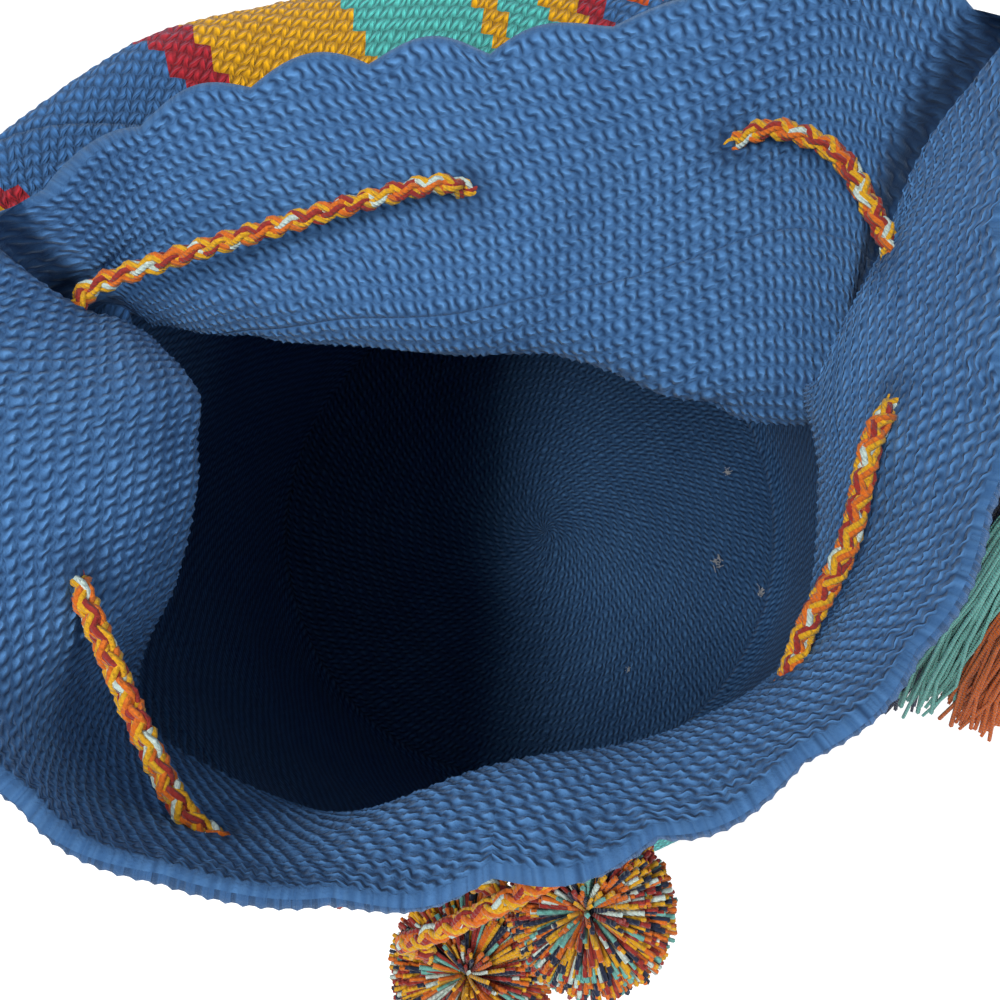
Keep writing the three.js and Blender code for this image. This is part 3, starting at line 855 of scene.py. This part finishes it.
def pompom(name, node, centre, radius, tie_way, seed):
    chance = random.Random(seed)
    tie_way = Vector(tie_way).normalized()
    tie = centre + tie_way * 0.55 * radius
    strands = []
    for number in range(POMPOM_YARNS):
        height = 1 - 2 * (number + 0.5) / POMPOM_YARNS
        turn = number * math.pi * (3 - math.sqrt(5))
        level = math.sqrt(1 - height * height)
        way = Vector((level * math.cos(turn), level * math.sin(turn), height))
        jitter = Vector((chance.gauss(0, 1), chance.gauss(0, 1), chance.gauss(0, 1))) * 0.06
        way = (way + jitter).normalized()
        facing = way.dot(tie_way)
        if facing > 0.72 and chance.random() < 0.85:
            way = (way - tie_way * (facing - chance.uniform(0.3, 0.75))).normalized()
        end = centre + way * chance.uniform(0.88, 1.0) * radius
        start = tie + (end - tie) * chance.uniform(0.05, 0.45)
        middle = (start + end) / 2 + (way + jitter) * 0.05 * radius
        strands.append((chance.choice(POMPOM_DYES), chance.uniform(0.42, 0.6) * MM, [start, middle, end]))
    ball = yarn_piece(name, strands, sides=4)
    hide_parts(node)
    return ball


pompoms = [
    pompom("yarn_pompom_left", "pompom_left", Vector((-12, -119, 206)) * MM, 20 * MM, (0.0, 0.15, 1.0), 3),
    pompom("yarn_pompom_right", "pompom_right", Vector((16, -96.5, 236)) * MM, 18 * MM, (-0.1, 0.2, 0.95), 4),
]


# ---- Strap ---------------------------------------------------------------------------------------------------
# A firm hand-woven band. It is sewn to the bag under the collar on each side, folds over and hangs, and
# stands on its edge round the back. Each stop gives the angle from the front, the radius, the height,
# the lean of the band's width and the way that it faces.
STRAP_WIDTH = 64 * MM
STRAP_THICKNESS = 4 * MM
STRAP_ROUTE = [
    [112, 119.5, 181, 0, 103], [112, 116.5, 201, 0, 103], [112, 112.5, 218, 0, 103], [112, 113.5, 232, 0, 104],
    [112, 120, 240, 0, 106], [112, 127.5, 234, 0, 108], [112, 130.5, 214, 0, 110], [112, 131, 172, 0, 112],
    [116, 134, 126, 2, 116], [124, 142, 88, 20, 124], [134, 154, 58, 52, 134], [145, 168, 41, 80, 145],
    [158, 181, 34, 90, 158], [172, 189, 33, 90, 172], [186, 190, 33, 90, 186], [199, 184, 34, 90, 199],
    [211, 175, 41, 100, 211], [221, 167, 58, 128, 221], [231, 161, 90, 160, 231], [241, 160, 130, 178, 241],
    [248, 162, 175, 180, 248], [252, 165, 216, 180, 252], [252, 165, 246, 180, 252], [252, 160, 261, 180, 252],
    [252, 153.5, 262, 180, 252], [252, 150.5, 250, 180, 252], [252, 151, 236, 180, 252],
    [252, 147.5, 222, 180, 252], [252, 142, 207, 180, 252], [252, 139.5, 195.5, 180, 252],
]
strap_stops = np.array(STRAP_ROUTE, float)
strap_angles = np.radians(strap_stops[:, 0])
strap_centres = MM * np.stack([
    strap_stops[:, 1] * np.sin(strap_angles), -strap_stops[:, 1] * np.cos(strap_angles), strap_stops[:, 2],
], axis=1)
strap_leans = np.radians(strap_stops[:, 3])
strap_facings = np.radians(strap_stops[:, 4])
strap_widths = np.stack([
    np.cos(strap_facings) * np.cos(strap_leans), np.sin(strap_facings) * np.cos(strap_leans), np.sin(strap_leans),
], axis=1)
strap_line, strap_along = smooth_route(strap_centres, 2.0 * MM)
stop_lengths = np.concatenate([[0], np.cumsum(np.linalg.norm(np.diff(strap_centres, axis=0), axis=1))])
stop_lengths *= strap_along[-1] / stop_lengths[-1]
strap_tangents = np.gradient(strap_line, axis=0)
strap_tangents /= np.linalg.norm(strap_tangents, axis=1, keepdims=True)
strap_across = np.stack([np.interp(strap_along, stop_lengths, strap_widths[:, k]) for k in range(3)], axis=1)
strap_across -= strap_tangents * np.sum(strap_across * strap_tangents, axis=1, keepdims=True)
strap_across /= np.linalg.norm(strap_across, axis=1, keepdims=True)
strap_thick = np.cross(strap_tangents, strap_across)

strap_bm = bmesh.new()
STRAP_CELLS = 24
bmesh.ops.create_grid(strap_bm, x_segments=len(strap_line) - 1, y_segments=STRAP_CELLS, size=0.5, calc_uvs=True)
strap_mesh = bpy.data.meshes.new("woven_strap")
strap_bm.to_mesh(strap_mesh)
strap_bm.free()
flat = np.empty(len(strap_mesh.vertices) * 3)
strap_mesh.vertices.foreach_get("co", flat)
flat = flat.reshape(-1, 3)
step = np.round((flat[:, 0] + 0.5) * (len(strap_line) - 1)).astype(int)
width_at = flat[:, 1] * (STRAP_WIDTH - 1 * MM)
cupped = 0.5 * MM * np.sin(0.11 * step) * np.cos(2.4 * width_at / STRAP_WIDTH)
band_places = strap_line[step] + strap_across[step] * width_at[:, None] + strap_thick[step] * cupped[:, None]
strap_mesh.vertices.foreach_set("co", band_places.ravel())
strap_layer = strap_mesh.uv_layers.active or strap_mesh.uv_layers.new(name="weave")
strap_layer.name = "weave"
loop_vertices = np.empty(len(strap_mesh.loops), int)
strap_mesh.loops.foreach_get("vertex_index", loop_vertices)
strap_uv = np.stack([strap_along[step] / MM, width_at / MM], axis=1)[loop_vertices]
strap_layer.data.foreach_set("uv", strap_uv.ravel())
strap_mesh.polygons.foreach_set("use_smooth", np.ones(len(strap_mesh.polygons), bool))
strap = bpy.data.objects.new("woven_strap", strap_mesh)
bpy.context.collection.objects.link(strap)
solid = strap.modifiers.new("thickness", "SOLIDIFY")
solid.thickness = STRAP_THICKNESS - 0.6 * MM
solid.offset = 0
solid.use_even_offset = True
rounding = strap.modifiers.new("rounding", "BEVEL")
rounding.width = 1.0 * MM
rounding.segments = 2
rounding.limit_method = "ANGLE"
rounding.angle_limit = math.radians(60)

strap_material = bpy.data.materials.new("woven_cotton")
strap_material.use_nodes = True
tree = strap_material.node_tree
shader = tree.nodes["Principled BSDF"]
weave_uv = tree.nodes.new("ShaderNodeUVMap")
weave_uv.uv_map = "weave"
split = tree.nodes.new("ShaderNodeSeparateXYZ")
tree.links.new(weave_uv.outputs[0], split.inputs[0])
length_mm, across_mm = split.outputs[0], split.outputs[1]
warp = maths(tree, "FLOOR", maths(tree, "DIVIDE", across_mm, 1.6))
weft = maths(tree, "FLOOR", maths(tree, "DIVIDE", length_mm, 2.4))
from_middle = maths(tree, "ABSOLUTE", maths(tree, "ADD", warp, 0.5))
in_diamond = maths(tree, "FRACT", maths(tree, "DIVIDE", weft, 22.0))
diamond_at = maths(tree, "ABSOLUTE", maths(tree, "SUBTRACT", in_diamond, 0.5))
diamond = maths(tree, "ADD", maths(tree, "MULTIPLY", diamond_at, 30.0), from_middle)
strap_ramp = tree.nodes.new("ShaderNodeValToRGB")
strap_ramp.color_ramp.interpolation = "CONSTANT"
diamond_stops = [
    (0.0, "gold"), (0.16, "brick"), (0.30, "navy"), (0.42, "turquoise"), (0.62, "flame"), (0.70, "turquoise"),
]
for at, _ in diamond_stops[2:]:
    strap_ramp.color_ramp.elements.new(at)
for element, (at, dye) in zip(strap_ramp.color_ramp.elements, diamond_stops):
    element.position = at
    element.color = YARNS[dye]
tree.links.new(maths(tree, "DIVIDE", diamond, 28.0), strap_ramp.inputs[0])
edge_band = maths(tree, "GREATER_THAN", from_middle, 16.0)
edge_line = maths(tree, "GREATER_THAN", from_middle, 18.0)
woven = mixed(tree, edge_band, strap_ramp.outputs[0], YARNS["navy"])
woven = mixed(tree, edge_line, woven, YARNS["flame"])
warp_wave = wave(tree, maths(tree, "DIVIDE", across_mm, 1.6))
weft_shift = maths(tree, "MULTIPLY", warp, 0.5)
weft_wave = wave(tree, maths(tree, "ADD", maths(tree, "DIVIDE", length_mm, 2.4), weft_shift))
# Painted shade: darker where the warp threads meet, in the grooves between them.
painted_groove_shade = maths(tree, "MULTIPLY", warp_wave, 0.75)
woven = mixed(tree, painted_groove_shade, woven, mixed(tree, 1.0, woven, (0.4, 0.4, 0.4, 1), "MULTIPLY"))
fibre = grouped(tree, COTTON_FIBRE, Scale=1600.0)
brighter = mixed(tree, 1.0, woven, (1.6, 1.6, 1.6, 1), "MULTIPLY")
woven = mixed(tree, maths(tree, "MULTIPLY", fibre["Fuzz"], 0.3), woven, brighter)
tree.links.new(woven, shader.inputs["Base Color"])
shader.inputs["Roughness"].default_value = 0.88
shader.inputs["Sheen Weight"].default_value = 0.2
bump = tree.nodes.new("ShaderNodeBump")
bump.inputs["Distance"].default_value = 0.5 * MM
weft_dip = maths(tree, "MULTIPLY", weft_wave, -0.45)
relief = maths(tree, "SUBTRACT", weft_dip, maths(tree, "MULTIPLY", warp_wave, 0.8))
tree.links.new(maths(tree, "MULTIPLY_ADD", fibre["Fuzz"], 0.3, relief), bump.inputs["Height"])
tree.links.new(bump.outputs[0], shader.inputs["Normal"])
strap_mesh.materials.append(strap_material)
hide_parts("strap")
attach(strap, "root")


# ---- Lint -------------------------------------------------------------------------------------------
# A few wisps of white fluff have caught on the base and the wall inside.
LINT = [
    ((75.0, -15.0, 5.8), 2.4), ((94.0, -28.0, 6.4), 1.5), ((81.0, 25.0, 6.0), 1.4), ((36.0, -62.0, 5.8), 0.9),
]
WISPS = 26
WISP_RADIUS = 0.15 * MM
lint_chance = random.Random(5)
wisps = []
for place, spread in LINT:
    for _ in range(WISPS):
        start = Vector(place) + Vector((lint_chance.gauss(0, 0.4), lint_chance.gauss(0, 0.5), 0.2)) * spread
        bend = Vector((lint_chance.gauss(0, 0.5), lint_chance.gauss(0, 0.6), lint_chance.uniform(0, 0.5))) * spread
        wisps.append(("lint", WISP_RADIUS, [start * MM, (start + bend * 0.6) * MM, (start + bend) * MM]))
lint = yarn_piece("white_lint", wisps)
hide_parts("bag_body")


# ---- Tassels ----------------------------------------------------------------------------------------------------
# Four at each side, each a bundle of one colour of yarn folded over a braided cord, its neck wound with the
# same yarn and its ends cut loose. Each has the place of the top of its head and of its tip.
NECK_AT = 15 * MM
TASSEL_YARNS = 64
TASSELS = [
    ("right_turquoise", "turquoise", (119, -4, 226), (111.5, -59, 150)),
    ("right_navy", "navy", (119, 6, 218.5), (109.5, -61, 124)),
    ("right_orange", "orange", (131.5, -5, 226), (124.5, -65, 155)),
    ("right_ochre", "ochre", (131.5, 5, 218.5), (127.5, -43, 146)),
    ("left_navy", "navy", (-135, -44, 208), (-122.7, -65.3, 128)),
    ("left_turquoise", "turquoise", (-142.3, -32.8, 214), (-132.5, -48.2, 134)),
    ("left_orange", "orange", (-147.6, -20.7, 219), (-139.9, -29.7, 140)),
    ("left_ochre", "ochre", (-150.8, -7.9, 224), (-143.6, -10, 146)),
]


def tassel_strands(dye, head, tip, chance):
    length = (tip - head).length
    axis = (tip - head).normalized()
    side = axis.cross(Vector((0.2, 0.3, 1))).normalized()
    over = axis.cross(side)
    strands = []
    for number in range(TASSEL_YARNS):
        turn = number * 2.39996
        share = math.sqrt((number + 0.5) / TASSEL_YARNS)
        ends = length * chance.uniform(0.93, 1.03)
        waviness = chance.uniform(0.3, 1.3) * MM
        phase = chance.uniform(0, 6.28)
        stops = [
            (0.8 * MM, 1.2), (3 * MM, 4.2), (7 * MM, 5.0), (NECK_AT - 4 * MM, 4.4), (NECK_AT, 3.9),
            (NECK_AT + 5 * MM, 4.8), (0.45 * length, 6.0), (0.62 * length, 6.8), (0.82 * length, 7.6), (ends, 8.4),
        ]
        points = []
        for distance, radius in stops:
            loose = max(0.0, distance - NECK_AT) / length
            reach = radius * share * MM
            wander = waviness * loose * 2.2
            points.append(
                head + axis * distance
                + side * (math.cos(turn) * reach + wander * math.sin(phase + 120 * distance))
                + over * (math.sin(turn) * reach + wander * math.cos(1.3 * phase + 95 * distance))
            )
        strands.append((dye, chance.uniform(0.5, 0.68) * MM, points))
    return strands, axis, side, over


def binding_strand(dye, head, axis, side, over):
    turns_wound = 6
    points = []
    for number in range(turns_wound * 14 + 1):
        turn = number * 2 * math.pi / 14
        distance = NECK_AT - 2.1 * MM + 4.2 * MM * number / (turns_wound * 14)
        reach = (4.9 + 0.12 * math.sin(0.9 * number)) * MM
        points.append(head + axis * distance + side * math.cos(turn) * reach + over * math.sin(turn) * reach)
    return [(dye, 0.55 * MM, points)]


tassel_chance = random.Random(11)
for name, dye, head_place, tip_place in TASSELS:
    head, tip = Vector(head_place) * MM, Vector(tip_place) * MM
    strands, axis, side, over = tassel_strands(dye, head, tip, tassel_chance)
    fringe = yarn_piece(f"yarn_tassel_{name}", strands)
    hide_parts(f"tassel_{name}")
    wound = yarn_piece(f"wound_binding_{name}", binding_strand(dye, head, axis, side, over))
    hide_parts(f"binding_{name}")

TASSEL_CORDS = {
    "tassel_cord_right": [[125.5, 13, 233], [125.5, 8, 236], [125.3, 3, 235.5], [125.2, 0, 231.5], [125.1, -0.5, 228]],
    "tassel_cord_left": [
        [-131, -50, 209], [-137, -44.5, 212], [-144, -33, 218], [-149.5, -20.5, 223], [-153, -8, 228], [-153, 1, 234],
    ],
}
for name, route in TASSEL_CORDS.items():
    line, along = smooth_route(MM * np.array(route), 0.9 * MM)
    braid = yarn_piece(f"braided_{name}", round_braid(line, along, 4 * MM, 10 * MM, BRAID_DYES))
    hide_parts(name)
